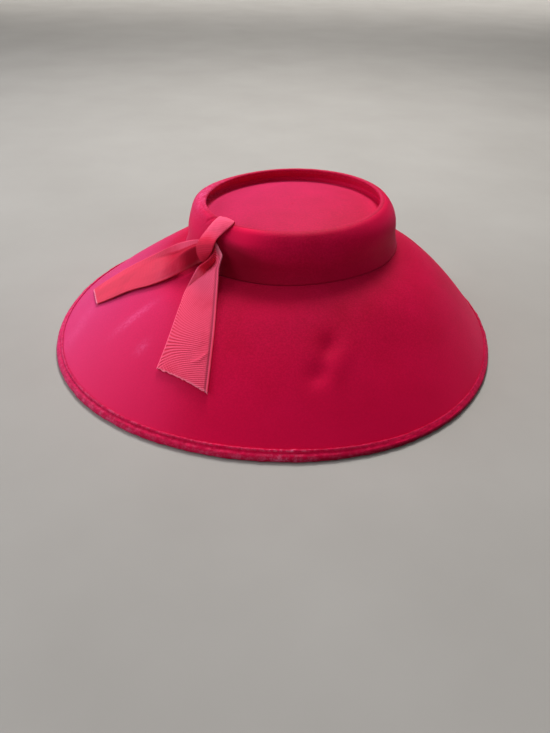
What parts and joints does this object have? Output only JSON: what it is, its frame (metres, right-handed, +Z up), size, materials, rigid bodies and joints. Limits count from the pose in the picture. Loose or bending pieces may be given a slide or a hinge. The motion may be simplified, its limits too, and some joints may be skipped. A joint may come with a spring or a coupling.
{
  "type": "wide-brim hat",
  "caption": "Felt hat with a low rolled-rim crown and sunken tip, a wide drooping brim with a bound edge, and a ribbon bow beside the crown; worn on the head.",
  "frame": {"origin": "on the surface the hat stands on, under the middle of the brim", "axes": "+Z up, -Y the front of the hat, +X the side away from the bow"},
  "size_m": [0.3975, 0.4005, 0.1252],
  "materials": {
    "felt": "velour felt, cerise red with a soft pink sheen",
    "binding": "felt strip folded over the edge, worn pale along the outside",
    "ribbon": "coral grosgrain with fine ribs across it"
  },
  "bodies": {
    "root": {"crown": "felt", "brim": "felt", "edge_binding": "binding", "bow_loop": "ribbon", "bow_tail_left": "ribbon", "bow_tail_front": "ribbon"}
  },
  "joints": []
}
